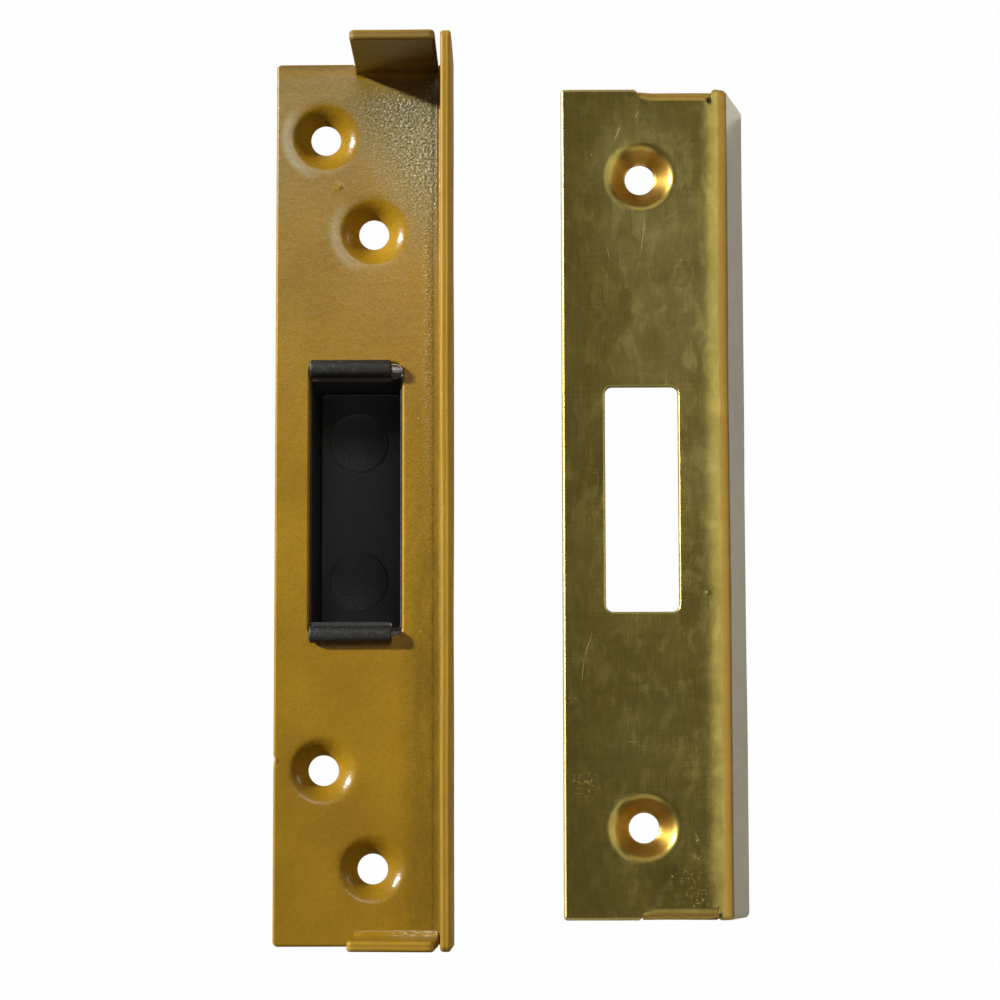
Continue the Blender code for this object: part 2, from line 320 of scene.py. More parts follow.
        outer = densify(self.outline(), self.step)
        outer_e = outer[:, 2].copy()
        outer = outer[:, :2].copy()
        for v0, wide, deep in self.nicks:           # small dents in the free edge
            near = np.abs(outer[:, 0] - e) < 0.02
            outer[:, 0] += np.where(near, deep * np.exp(-((outer[:, 1] - v0) / wide) ** 2), 0.0)
        wx, wy = self.window
        we = self.win_e
        win = round_rect(self.window_x - we, -wy / 2 - we, self.window_x + wx + we, wy / 2 + we,
                         self.window_r + we)
        win = densify(tidy(win), self.step)
        cuts = [win]
        add(outer)
        add(win)
        segs = 84
        rim = self.dimple.hole_r + self.hole_e
        radii = np.concatenate([np.linspace(rim, 3.3, 6)[1:], np.linspace(3.45, 5.1, 19),
                                np.arange(5.45, self.dimple.r_out + 0.31, 0.42)])
        for cx, cy in self.holes:
            loop = circle(cx, cy, rim, segs)
            add(loop)
            cuts.append(loop)
            for r in radii:
                add(circle(cx, cy, r, segs))
        for du, dv, r, h in self.dents:
            if r < 1.5:
                for k in (0.35, 0.8, 1.3, 1.9):
                    add(circle(du, dv, r * k, 14))
        fixed = np.vstack(pts)

        # rows of points across the bends, and a grid over the flats
        free = []
        rows = np.concatenate([self.fold_u0 + self.fold_len * np.linspace(0, 1, 19)])
        ys = np.arange(-self.half + 0.8, self.half - 0.7, 1.25)
        for u in rows:
            free.append(np.column_stack([np.full(len(ys), u), ys]))
        bend = self.mid_r * math.pi / 2
        us = np.arange(t0 + e + 0.35, t1 - e - 0.3, 0.55)
        for k in np.linspace(-0.12, 1.06, 15):
            for sg in (1, -1):
                free.append(np.column_stack([us, np.full(len(us), sg * (self.v_s + bend * k))]))
        gx, gy = np.meshgrid(np.arange(1.2, self.fold_u0 - 0.5, 1.3), np.arange(-self.half, self.half, 1.6))
        gy = gy + 0.8 * (np.arange(gx.shape[1]) % 2)
        free.append(np.column_stack([gx.ravel(), gy.ravel()]))
        gx, gy = np.meshgrid(np.arange(self.fold_u0 + self.fold_len + 0.9, self.u_end - 0.8, 1.6),
                             np.arange(-self.half + 1, self.half, 1.6))
        free.append(np.column_stack([gx.ravel(), gy.ravel()]))
        gx, gy = np.meshgrid(np.arange(t0 + 1.2, t1 - 1, 1.5),
                             np.arange(self.v_s + bend * 1.06 + 1.0, self.v_end - 0.8, 1.6))
        free.append(np.column_stack([gx.ravel(), gy.ravel()]))
        free.append(np.column_stack([gx.ravel(), -gy.ravel()]))
        free = np.vstack(free)
        ok = inside(free, outer)
        for c in cuts:
            ok &= ~inside(free, c)
        for cx, cy in self.holes:
            ok &= np.hypot(free[:, 0] - cx, free[:, 1] - cy) > self.dimple.r_out + 0.7
        free = free[ok]
        far = np.array([np.min((fixed[:, 0] - p[0]) ** 2 + (fixed[:, 1] - p[1]) ** 2) for p in free])
        free = free[far > 0.09 ** 2]
        allp = np.vstack([fixed, free])

        got = delaunay_2d_cdt([Vector((float(a), float(b))) for a, b in allp], edges, [], 0, 1e-6)
        uv = np.array([(p.x, p.y) for p in got[0]])
        tri = np.array([f for f in got[2]])
        cen = uv[tri].mean(1)
        keep = inside(cen, outer)
        for c in cuts:
            keep &= ~inside(cen, c)
        tri = tri[keep]
        a, b, c = uv[tri[:, 0]], uv[tri[:, 1]], uv[tri[:, 2]]
        flip = ((b - a)[:, 0] * (c - a)[:, 1] - (b - a)[:, 1] * (c - a)[:, 0]) < 0
        tri[flip] = tri[flip][:, ::-1]
        used = np.unique(tri)
        back = np.full(len(uv), -1)
        back[used] = np.arange(len(used))
        tri, uv = back[tri], uv[used]
        n = len(uv)

        reg = self.region(uv[:, 0], uv[:, 1])
        P, N, Pu, Pv = self.frame(uv[:, 0], uv[:, 1], reg)

        # boundary loops and their outward directions
        sides = {(int(x), int(y)) for f in tri for x, y in ((f[0], f[1]), (f[1], f[2]), (f[2], f[0]))}
        rim_edges = [(x, y) for x, y in sorted(sides) if (y, x) not in sides]
        nxt = dict(rim_edges)
        prv = {y: x for x, y in rim_edges}
        rim_v = np.array(sorted(nxt))
        slot = {int(v): i for i, v in enumerate(rim_v)}

        def edge_out(x, y):
            d = uv[y] - uv[x]
            d /= np.linalg.norm(d)
            return np.array([d[1], -d[0]])

        out2 = np.array([edge_out(prv[v], v) + edge_out(v, nxt[v]) for v in rim_v])
        out2 /= np.linalg.norm(out2, axis=1)[:, None]
        B = Pu[rim_v] * out2[:, :1] + Pv[rim_v] * out2[:, 1:]
        Nr = N[rim_v]
        B -= Nr * (B * Nr).sum(1)[:, None]
        B /= np.linalg.norm(B, axis=1)[:, None]
        # holes in the dimples have a smaller rounding than the outer edges
        e_v = np.full(len(rim_v), e)
        for i, q in enumerate(uv[rim_v]):
            d = (outer[:, 0] - q[0]) ** 2 + (outer[:, 1] - q[1]) ** 2
            k = int(np.argmin(d))
            e_v[i] = outer_e[k] if d[k] < 1e-6 else self.win_e
        rf_v = self.rf * np.sqrt(e_v / e)
        rb_v = self.rb * np.sqrt(e_v / e)
        dish_v = np.where(e_v > 0.95 * e, self.dish, 0.0)
        for cx, cy in self.holes:
            m = np.hypot(uv[rim_v, 0] - cx, uv[rim_v, 1] - cy) < 3.2
            e_v[m], rf_v[m], rb_v[m], dish_v[m] = self.hole_e, self.hole_rf, self.hole_rb, 0.0
        rings = []
        for phi in np.radians(np.linspace(0, 90, self.round_n + 1)[1:]):
            o, hgt = e_v * math.sin(phi), t / 2 - rf_v * (1 - math.cos(phi))
            nb, nn = math.sin(phi) / e_v, math.cos(phi) / rf_v
            rings.append((o, hgt, nb, nn, math.sin(phi)))
        h0, h1 = t / 2 - rf_v, -(t / 2 - rb_v)
        for f in np.linspace(0, 1, 8)[1:-1]:           # sheared edge, a little hollow
            o = e_v - dish_v * math.sin(math.pi * f) ** 2
            nn = -dish_v * math.pi * math.sin(2 * math.pi * f) / (h0 - h1)
            rings.append((o, h0 + (h1 - h0) * f, np.ones(len(rim_v)), nn, 1.0))
        for phi in np.radians(np.linspace(90, 0, self.round_n + 1)[:-1]):
            o, hgt = e_v * math.sin(phi), -(t / 2 - rb_v * (1 - math.cos(phi)))
            nb, nn = math.sin(phi) / e_v, -math.cos(phi) / rb_v
            rings.append((o, hgt, nb, nn, math.sin(phi)))

        verts = [P + N * t / 2, P - N * t / 2]
        norms = [N, -N]
        flat = [np.column_stack([uv, np.ones(n)]), np.column_stack([uv, -np.ones(n)])]
        edge = [np.zeros(n), np.zeros(n)]
        tilt = np.degrees(np.arccos(np.clip(N[:, 2], -1, 1))) / 90.0
        tilts = [tilt, tilt]
        for o, hgt, nb, nn, s in rings:
            verts.append(P[rim_v] + Nr * hgt[:, None] + B * o[:, None])
            q = B * nb[:, None] + Nr * nn[:, None]
            norms.append(q / np.linalg.norm(q, axis=1)[:, None])
            flat.append(np.column_stack([uv[rim_v] + out2 * o[:, None], hgt / (t / 2)]))
            edge.append(np.full(len(rim_v), s))
            tilts.append(tilt[rim_v])
        verts, norms = np.vstack(verts), np.vstack(norms)
        flat, edge, tilts = np.vstack(flat), np.concatenate(edge), np.concatenate(tilts)

        faces = [tuple(f) for f in tri] + [(f[2] + n, f[1] + n, f[0] + n) for f in tri]
        k = len(rim_v)

        def at(level, v):
            if level < 0:
                return v
            if level >= len(rings):
                return n + v
            return 2 * n + level * k + slot[v]

        for x, y in rim_edges:
            for lev in range(-1, len(rings)):
                faces.append((at(lev, y), at(lev, x), at(lev + 1, x), at(lev + 1, y)))

        mesh = bpy.data.meshes.new(name)
        mesh.from_pydata(((verts + self.place) * MM).tolist(), [], [tuple(int(i) for i in f) for f in faces])
        mesh.update()
        mesh.shade_smooth()
        for label, kind, data, field in (("flat", "FLOAT_VECTOR", flat, "vector"),
                                         ("edge", "FLOAT", edge, "value"),
                                         ("bend", "FLOAT", tilts, "value")):
            at_ = mesh.attributes.new(label, kind, "POINT")
            at_.data.foreach_set(field, np.ascontiguousarray(data, np.float32).ravel())
        mesh.normals_split_custom_set_from_vertices(norms.tolist())
        ob = bpy.data.objects.new(name, mesh)
        bpy.context.scene.collection.objects.link(ob)
        return ob


def corner(node):
    lo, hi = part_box(node)
    return np.array(lo) / MM, np.array(hi) / MM


# --- gold-painted strike
st_lo, st_hi = corner("strike_plate")
STRIKE_Z = st_hi[2] - 18.0                      # front face
strike_sheet = Sheet(
    t=1.45, length=125.0, bend_x=22.85, mid_r=1.725, turn=90.0, flange_len=17.0, ease_in=0.3, ease_deg=1.0,
    tab_x=(11.4, 23.1), tab_end=62.5, tab_len=17.0, tab_tight=1.3, tab_ease=0.9,
    slit_l=0.04, slit_r=0.08, slit_e=0.12, root_in=-0.35, root_l=60.9,
    window=(13.0, 38.6), window_x=4.95, window_r=1.1,
    holes=((6.95, 51.8), (13.85, 38.1), (6.95, -38.1), (13.85, -51.8)),
    dimple=Dimple(((6.1, 0.0), (5.5, 1.6), (5.1, 2.8), (4.88, 7.5), (4.62, 23.0), (4.3, 27.5), (3.85, 41.0), (3.4, 46.0), (2.9, 46.0),
                   (2.5, 34.0)), 2.40),
    direction=1, tip_r=0.9, tip_low=0.9, tab_tip=0.8, corner_r=0.75, mouth_r=0.55,
    e=0.42, rf=0.5, rb=0.45, hole_e=0.26, hole_rf=0.34, hole_rb=0.3, round_n=6, dish=0.025, win_e=0.42, low_out=0.0,
    waves=((0.025, 0.021, 0.013, 0.4), (0.018, -0.031, 0.022, 2.1), (0.012, 0.05, 0.037, 4.0)),
    dents=((8.95, 44.75, 0.42, 0.10), (8.35, 44.35, 0.3, 0.05)),
    nicks=((-36.6, 0.45, 0.16),),
    place=np.array([st_lo[0], 0.0, STRIKE_Z]),
)
strike = strike_sheet.build("strike_plate_visual")

# --- brass forend cover
fc_lo, fc_hi = corner("forend_cover")
FOREND_Z = fc_hi[2]
FC_TURN = 76.0
turn = math.radians(FC_TURN)
fc_flange = (14.5 - 0.6 * math.cos(turn) - 0.6 - 1.4 * (1 - math.cos(turn))) / math.sin(turn)
forend_sheet = Sheet(
    t=1.2, length=118.0, bend_x=21.8, mid_r=1.4, turn=FC_TURN, flange_len=fc_flange, ease_in=2.7, ease_deg=9.0,
    tab_x=(11.0, 21.45), tab_end=58.75, tab_len=12.5, tab_tight=0.75, tab_ease=2.4,
    slit_l=0.03, slit_r=0.04, slit_e=0.08, root_in=-0.3, root_l=58.0,
    window=(10.3, 31.9), window_x=6.1, window_r=1.0,
    holes=((11.3, 46.2), (11.3, -46.2)),
    dimple=Dimple(((5.25, 0.0), (5.05, 9.0), (4.83, 24.0), (4.6, 36.0), (4.36, 44.0), (3.6, 46.5), (2.9, 46.5), (2.5, 34.0)), 2.34),
    direction=-1, tip_r=0.7, tip_low=1.2, tab_tip=0.7, corner_r=0.55, mouth_r=0.5,
    e=0.52, rf=0.6, rb=0.2, hole_e=0.2, hole_rf=0.28, hole_rb=0.15, round_n=7, dish=0.02, win_e=0.32, low_out=0.25,
    waves=((0.030, 0.017, 0.011, 1.1), (0.020, 0.043, -0.019, 0.2), (0.010, 0.06, 0.045, 3.0)),
    dents=((20.3, -13.3, 0.4, -0.05), (18.6, -50.1, 0.5, -0.05), (21.1, 57.0, 0.34, -0.06),
           (21.6, -58.2, 0.3, -0.06)),
    nicks=(),
    place=np.array([fc_lo[0], 0.0, FOREND_Z]),
)
forend = forend_sheet.build("forend_cover_visual")


# --------------------------------------------------------------------------
# Dust socket: a moulded pocket with soft edges, bead lips and locating ribs
# --------------------------------------------------------------------------
def loft(name, loops, z_of=None, caps=(True, True)):
    """Closed mesh through equal-length 3-D loops, capped at both ends."""
    bm = bmesh.new()
    rings = [[bm.verts.new(tuple(float(c) for c in p)) for p in lp] for lp in loops]
    n = len(rings[0])
    for a, b in zip(rings, rings[1:]):
        for i in range(n):
            j = (i + 1) % n
            bm.faces.new((a[i], a[j], b[j], b[i]))
    if caps[0]:
        bm.faces.new(rings[0][::-1])
    if caps[1]:
        bm.faces.new(rings[-1])
    bmesh.ops.recalc_face_normals(bm, faces=bm.faces)
    return bm


def to_object(name, bm, smooth_deg=40.0):
    mesh = bpy.data.meshes.new(name)
    bm.to_mesh(mesh)
    bm.free()
    mesh.shade_smooth()
    mesh.set_sharp_from_angle(angle=math.radians(smooth_deg))
    ob = bpy.data.objects.new(name, mesh)
    bpy.context.scene.collection.objects.link(ob)
    return ob


ds_lo, ds_hi = corner("dust_socket")
DS_X = st_lo[0] + 4.95 + 6.5
DS_Y = -0.35
DS_BACK_Z = ds_lo[2]
BX, BY = 6.49, 18.3


def shell_loops():
    def lp(ix, iy, z, r):
        q = round_rect(-BX + ix, -BY + iy, BX - ix, BY - iy, max(r, 0.12), 7)
        return np.column_stack([q[:, 0] + DS_X, q[:, 1] + DS_Y, np.full(len(q), z)]) * MM
    top = STRIKE_Z - 0.75
    bz = DS_BACK_Z
    loops = []
    rb = 0.55                                   # soft back edge, drafted sides
    for a in np.linspace(0, 90, 6):
        s, c = math.sin(math.radians(a)), math.cos(math.radians(a))
        i = 0.25 + rb * (1 - s)
        loops.append(lp(i, i, bz + rb * (1 - c), 1.2 - rb * (1 - s)))
    rt = 0.1                                    # thin rim of the walls
    for a in np.linspace(0, 90, 4):
        s, c = math.sin(math.radians(a)), math.cos(math.radians(a))
        loops.append(lp(rt * (1 - c), rt * (1 - c), top - rt + rt * s, 0.6 - rt * (1 - c)))
    for a in np.linspace(90, 0, 4):
        s, c = math.sin(math.radians(a)), math.cos(math.radians(a))
        loops.append(lp(0.24 - rt * (1 - c), 0.55 - rt * (1 - c), top - rt + rt * s, 0.4 + rt * (1 - c)))
    floor = bz + 1.2
    rf = 0.4                                    # fillet round the floor
    for a in np.linspace(0, 90, 6):
        s, c = math.sin(math.radians(a)), math.cos(math.radians(a))
        loops.append(lp(0.55 + rf * (1 - c), 0.85 + rf * (1 - c), floor + rf * (1 - s), 0.9))
    return loops, floor


def socket_shell():
    loops, floor = shell_loops()
    bm = loft("shell", loops, caps=(True, False))
    # floor with two shallow round moulding marks
    ring = loops[-1][:, :2] / MM
    pts, edges = [ring], [(i, (i + 1) % len(ring)) for i in range(len(ring))]
    base = len(ring)
    marks = []
    for s in (1, -1):
        cx, cy = DS_X - 0.4, DS_Y + s * 10.1
        marks.append((cx, cy))
        for r in (4.4, 4.32, 4.12, 4.04):
            c = circle(cx, cy, r, 56)
            pts.append(c)
            edges.extend((base + i, base + (i + 1) % 56) for i in range(56))
            base += 56
    allp = np.vstack(pts)
    got = delaunay_2d_cdt([Vector((float(a), float(b))) for a, b in allp], edges, [], 0, 1e-6)
    uv = np.array([(p.x, p.y) for p in got[0]])
    bm.verts.ensure_lookup_table()
    last = bm.verts[-len(ring):]
    vs = []
    for i, p in enumerate(uv):
        d = min(math.hypot(p[0] - cx, p[1] - cy) for cx, cy in marks)
        z = floor - 0.16 * float(smooth((4.36 - d) / 0.32)) if d < 4.37 else floor
        hit = np.argmin(np.hypot(ring[:, 0] - p[0], ring[:, 1] - p[1]))
        if np.hypot(*(ring[hit] - p)) < 1e-3:
            vs.append(last[hit])
        else:
            vs.append(bm.verts.new((p[0] * MM, p[1] * MM, z * MM)))
    tri = [f for f in got[2] if inside(np.array([uv[list(f)].mean(0)]), ring)[0]]
    for f in tri:
        bm.faces.new([vs[i] for i in f])
    bmesh.ops.recalc_face_normals(bm, faces=bm.faces)
    return to_object("dust_socket_visual", bm)


def lip(sign):
    """Bead lip: a neck standing on the end wall, a small ledge and a rolled
    bead that hooks over the window's end."""
    prof = fillet([(17.0, -3.0, 0.0), (18.25, -3.0, 0.0), (18.25, 0.3, 0.0), (20.0, 0.3, 0.3),
                   (20.0, 1.7, 1.05), (17.6, 1.7, 1.05), (17.6, -0.2, 0.2), (17.0, -0.2, 0.2)], 7)
    c = np.array([18.6, 0.7])
    x0, x1 = -6.45, 5.0 if sign > 0 else 5.1
    loops = []
    r = 0.32
    cuts = ([(x0 + r * (1 - math.sin(a)), r * (1 - math.cos(a))) for a in np.radians(np.linspace(90, 0, 6))]
            + [(x1 - r * (1 - math.sin(a)), r * (1 - math.cos(a))) for a in np.radians(np.linspace(0, 90, 6))])
    for x, ins in cuts:
        q = c + (prof - c) * (1 - ins / 1.2)
        loops.append(np.column_stack([np.full(len(q), DS_X + x), DS_Y + sign * q[:, 0],
                                      STRIKE_Z + q[:, 1]]) * MM)
    return to_object("lip", loft("lip", loops))


def rib(sign, sx):
    x = sx * 3.4
    y0, y1 = sorted((sign * (BY - 0.4), sign * (BY + 0.3)))
    q0 = round_rect(x - 0.6, y0, x + 0.6, y1, 0.18, 4)
    c = q0.mean(0)
    loops = []
    for z, k in ((DS_BACK_Z + 1.6, 0.6), (DS_BACK_Z + 1.75, 0.9), (DS_BACK_Z + 2.0, 1.0),
                 (STRIKE_Z - 3.5, 1.0), (STRIKE_Z - 3.2, 0.8)):
        q = c + (q0 - c) * k
        loops.append(np.column_stack([q[:, 0] + DS_X, q[:, 1] + DS_Y, np.full(len(q), z)]) * MM)
    return to_object("rib", loft("rib", loops))


def web():
    """Thin web that closes the window's corner beside the far lip: a sheet put where the shaded floor shows through,
    coloured pale as painted shade.
    """
    q0 = round_rect(3.6, 17.4, 6.46, 19.6, 1.05, 7)
    c = q0.mean(0)
    loops = []
    for z, k in ((-1.5, 1.0), (-0.95, 1.0), (-0.88, 0.98), (-0.85, 0.94)):
        q = c + (q0 - c) * k
        loops.append(np.column_stack([q[:, 0] + DS_X, q[:, 1] + DS_Y, np.full(len(q), STRIKE_Z + z)]) * MM)
    return to_object("web", loft("web", loops))


def unite(ob, others):
    for o in others:
        m = ob.modifiers.new("join", "BOOLEAN")
        m.object, m.operation, m.solver = o, "UNION", "EXACT"
    dg = bpy.context.evaluated_depsgraph_get()
    dg.update()
    mesh = bpy.data.meshes.new_from_object(ob.evaluated_get(dg))
    ob.modifiers.clear()
    old, ob.data = ob.data, mesh
    bpy.data.meshes.remove(old)
    for o in others:
        m = o.data
        bpy.data.objects.remove(o)
        bpy.data.meshes.remove(m)
    mesh.shade_smooth()
    mesh.set_sharp_from_angle(angle=math.radians(38))


socket = socket_shell()
unite(socket, [lip(1), lip(-1), web()] + [rib(s, x) for s in (1, -1) for x in (1, -1)])


# --------------------------------------------------------------------------
# Materials.  "flat" is the place on the unfolded sheet in millimetres with
# the side as its third number, "edge" grows over the rounded edges and
# "bend" is how far the sheet is turned there.
# --------------------------------------------------------------------------
class Graph:
    def __init__(self, name):
        self.mat = bpy.data.materials.new(name)
        self.mat.use_nodes = True
        self.nt = self.mat.node_tree
        self.bsdf = self.nt.nodes["Principled BSDF"]

    def node(self, kind, **props):
        n = self.nt.nodes.new(kind)
        for k, v in props.items():
            setattr(n, k, v)
        return n

    def put(self, sock, val):
        if isinstance(val, bpy.types.NodeSocket):
            self.nt.links.new(val, sock)
        else:
            sock.default_value = val

    def attr(self, name, out="Fac"):
        return self.node("ShaderNodeAttribute", attribute_name=name).outputs[out]

    def math(self, op, a, b=0.0, c=0.0, clamp=False):
        n = self.node("ShaderNodeMath", operation=op, use_clamp=clamp)
        for s, v in zip(n.inputs, (a, b, c)):
            self.put(s, v)
        return n.outputs[0]

    def mul(self, *xs):
        r = xs[0]
        for x in xs[1:]:
            r = self.math("MULTIPLY", r, x)
        return r

    def add(self, a, b, clamp=False):
        return self.math("ADD", a, b, clamp=clamp)

    def inv(self, a):
        return self.math("SUBTRACT", 1.0, a)

    def vec(self, op, a, b=None, out="Vector"):
        n = self.node("ShaderNodeVectorMath", operation=op)
        self.put(n.inputs[0], a)
        if b is not None:
            self.put(n.inputs["Scale"] if op == "SCALE" else n.inputs[1], b)
        return n.outputs[out]

    def xyz(self, v):
        n = self.node("ShaderNodeSeparateXYZ")
        self.put(n.inputs[0], v)
        return n.outputs[0], n.outputs[1], n.outputs[2]

    def span(self, x, lo, hi, a=0.0, b=1.0, kind="SMOOTHSTEP"):
        n = self.node("ShaderNodeMapRange", interpolation_type=kind, clamp=True)
        for s, v in zip(n.inputs, (x, lo, hi, a, b)):
            self.put(s, v)
        return n.outputs[0]

    def bell(self, x, mid, half):
        """1 at mid, 0 at half away from it."""
        d = self.math("ABSOLUTE", self.math("SUBTRACT", x, mid))
        return self.span(d, half, 0.0)

    def noise(self, v, scale, detail=2.0, rough=0.5, stretch=None, distort=0.0):
        if stretch is not None:
            v = self.vec("MULTIPLY", v, stretch)
        n = self.node("ShaderNodeTexNoise")
        self.put(n.inputs["Vector"], v)
        n.inputs["Scale"].default_value = scale
        n.inputs["Detail"].default_value = detail
        n.inputs["Roughness"].default_value = rough
        n.inputs["Distortion"].default_value = distort
        return n.outputs[0]

    def cells(self, v, scale):
        n = self.node("ShaderNodeTexVoronoi")
        self.put(n.inputs["Vector"], v)
        n.inputs["Scale"].default_value = scale
        return n.outputs["Distance"], n.outputs["Color"]

    def mix(self, f, a, b, blend="MIX"):
        n = self.node("ShaderNodeMix", data_type="RGBA", blend_type=blend)
        self.put(n.inputs[0], f)
        for s, v in ((n.inputs[6], a), (n.inputs[7], b)):
            self.put(s, (*v, 1.0) if isinstance(v, tuple) and len(v) == 3 else v)
        return n.outputs[2]

    def bump(self, height, distance, normal=None, strength=1.0):
        n = self.node("ShaderNodeBump")
        n.inputs["Strength"].default_value = strength
        n.inputs["Distance"].default_value = distance
        self.put(n.inputs["Height"], height)
        if normal is not None:
            self.put(n.inputs["Normal"], normal)
        return n.outputs[0]

    def line(self, p, a, b, half):
        """Soft mask of the segment from a to b on the sheet, tapering off."""
        ab = Vector((b[0] - a[0], b[1] - a[1], 0.0))
        q = self.vec("SUBTRACT", p, (a[0], a[1], 1.0))
        t = self.math("DIVIDE", self.vec("DOT_PRODUCT", q, tuple(ab), "Value"), ab.length_squared, clamp=True)
        d = self.vec("LENGTH", self.vec("SUBTRACT", q, self.vec("SCALE", tuple(ab), t)), out="Value")
        fade = self.mul(self.span(t, 0.0, 0.25, 0.25, 1.0), self.span(t, 1.0, 0.75, 0.2, 1.0))
        return self.mul(self.span(d, half, half * 0.25), fade)

    def dot(self, p, c, r):
        d = self.vec("DISTANCE", p, (c[0], c[1], 1.0), "Value")
        return self.span(d, r, r * 0.35)

    def largest(self, masks):
        r = masks[0]
        for m in masks[1:]:
            r = self.math("MAXIMUM", r, m)
        return r


def gold_paint():
    g = Graph("gold_stove_paint")
    p = g.attr("flat", "Vector")
    u, v, side = g.xyz(p)
    edge = g.attr("edge")
    bend = g.attr("bend")
    front = g.mul(g.span(side, 0.3, 0.95), g.span(g.math("ABSOLUTE", v), 61.3, 60.3))
    plain = g.mul(front, g.span(bend, 0.14, 0.03))
    drift = g.noise(p, 0.07, 3.0, 0.55)
    col = g.mix(g.span(drift, 0.25, 0.75), (0.290, 0.158, 0.0068), (0.366, 0.206, 0.0100))
    # a little darker towards both ends
    shade = g.mul(g.span(v, -63.0, 0.0, 0.80, 1.0), g.span(v, 63.0, 15.0, 0.90, 1.0))
    col = g.vec("SCALE", col, shade)
    # painted reflection: greyer towards the upper end, standing in for the sheen of the light overhead
    painted_sheen = g.mul(plain, g.span(v, 0.0, 55.0), g.span(g.noise(p, 0.11, 3.0), 0.2, 0.8, 0.6, 1.0))
    col = g.mix(g.mul(painted_sheen, 0.13), col, (0.15, 0.30, 0.24))
    # painted glints: a granular silvery sparkle of the light by the fold at the upper end, over a greyer
    # painted sheen, and a thin column of it along the fold, with dark grains between them
    skin = g.noise(p, 4.6, 2.0, 0.6)
    k = g.mul(front, g.span(v, -45.0, 45.0, 0.8, 1.1))
    col = g.vec("SCALE", col, g.add(1.0, g.mul(k, g.span(skin, 0.25, 0.75, -0.19, 0.19, "LINEAR"))))
    grain = g.noise(p, 3.0, 2.5, 0.6, (0.85, 1.15, 1.0))
    area = g.mul(plain, g.span(g.math("MULTIPLY_ADD", v, 0.45, u), 32.5, 43.5), g.span(v, 22.0, 52.0),
                 g.span(v, 60.0, 55.5, 0.1, 1.0))
    column = g.mul(front, g.bell(u, 21.6, 1.1), g.span(v, -5.0, 32.0, 0.05, 0.6))
    patch = g.math("MAXIMUM", area, column)
    col = g.mix(g.mul(area, 0.24), col, (0.19, 0.35, 0.30))
    col = g.mix(g.mul(patch, g.span(grain, 0.53, 0.68), 0.72), col, (0.78, 0.82, 0.68))
    col = g.mix(g.mul(patch, g.span(grain, 0.49, 0.35), 0.75), col, (0.070, 0.062, 0.013))
    # painted shade: a darker, greener band beside the fold towards the lower end, where the flange keeps light off
    streak = g.noise(p, 0.35, 3.0, 0.6, (1.6, 0.5, 1.0))
    band = g.mul(front, g.span(u, 16.5, 21.0), g.span(v, 34.0, -22.0, 0.0, 1.0), g.span(streak, 0.25, 0.6, 0.45, 1.0))
    col = g.mix(g.mul(band, 0.62), col, (0.135, 0.095, 0.004))
    col = g.mix(g.mul(band, g.span(skin, 0.52, 0.34), 0.30), col, (0.070, 0.056, 0.004))
    # painted shade: a dark line in the crease at the root of the fold
    root = g.mul(front, g.bell(u, 22.3, 0.34), g.span(g.noise(p, 0.8, 3.0, 0.6), 0.3, 0.6, 0.3, 1.0))
    col = g.mix(g.mul(root, 0.6), col, (0.085, 0.055, 0.005))
    # painted highlight: lighter, warmer colour over the edges
    col = g.mix(g.mul(g.span(edge, 0.15, 0.9), 0.30), col, (0.50, 0.280, 0.030))
    # painted shade on the inside of the upper tab, and a darker, browner near edge on it; a painted glint, in streaks,
    # on the inner bend of the lower one
    tab = g.mul(g.span(side, 0.3, 0.95), g.span(v, 61.0, 62.6))
    col = g.mix(g.mul(tab, 0.52), col, (0.05, 0.030, 0.002))
    rim = g.mul(g.span(edge, 0.3, 0.9), g.span(v, 62.0, 66.0))
    col = g.mix(g.mul(rim, 0.58), col, (0.15, 0.095, 0.030))
    glint_streaks = g.noise(p, 1.0, 3.0, 0.6, (0.9, 4.5, 1.0))
    painted_bend_glint = g.mul(g.span(side, 0.3, 0.95), g.span(u, 15.0, 18.5), g.span(u, 23.3, 22.9), g.span(v, -60.3, -60.8),
                  g.span(v, -64.6, -61.4), g.span(glint_streaks, 0.50, 0.64))
    col = g.mix(g.mul(painted_bend_glint, 0.65), col, (0.78, 0.72, 0.50))
    # painted reflection: a pale sheen of the light on the free side of the upper countersinks
    pale = []
    for hole, reach in (((6.95, 51.8), 1.0), ((13.85, 38.1), 0.75)):
        q = g.vec("SUBTRACT", p, (hole[0], hole[1], 1.0))
        away = g.vec("LENGTH", q, out="Value")
        toward = g.vec("DOT_PRODUCT", g.vec("NORMALIZE", q), (-0.97, -0.24, 0.0), "Value")
        pale.append(g.mul(front, g.bell(away, 5.65, 1.05), g.span(toward, 0.30, 1.0), reach))
    col = g.mix(g.mul(g.largest(pale), 0.26), col, (0.66, 0.70, 0.52))
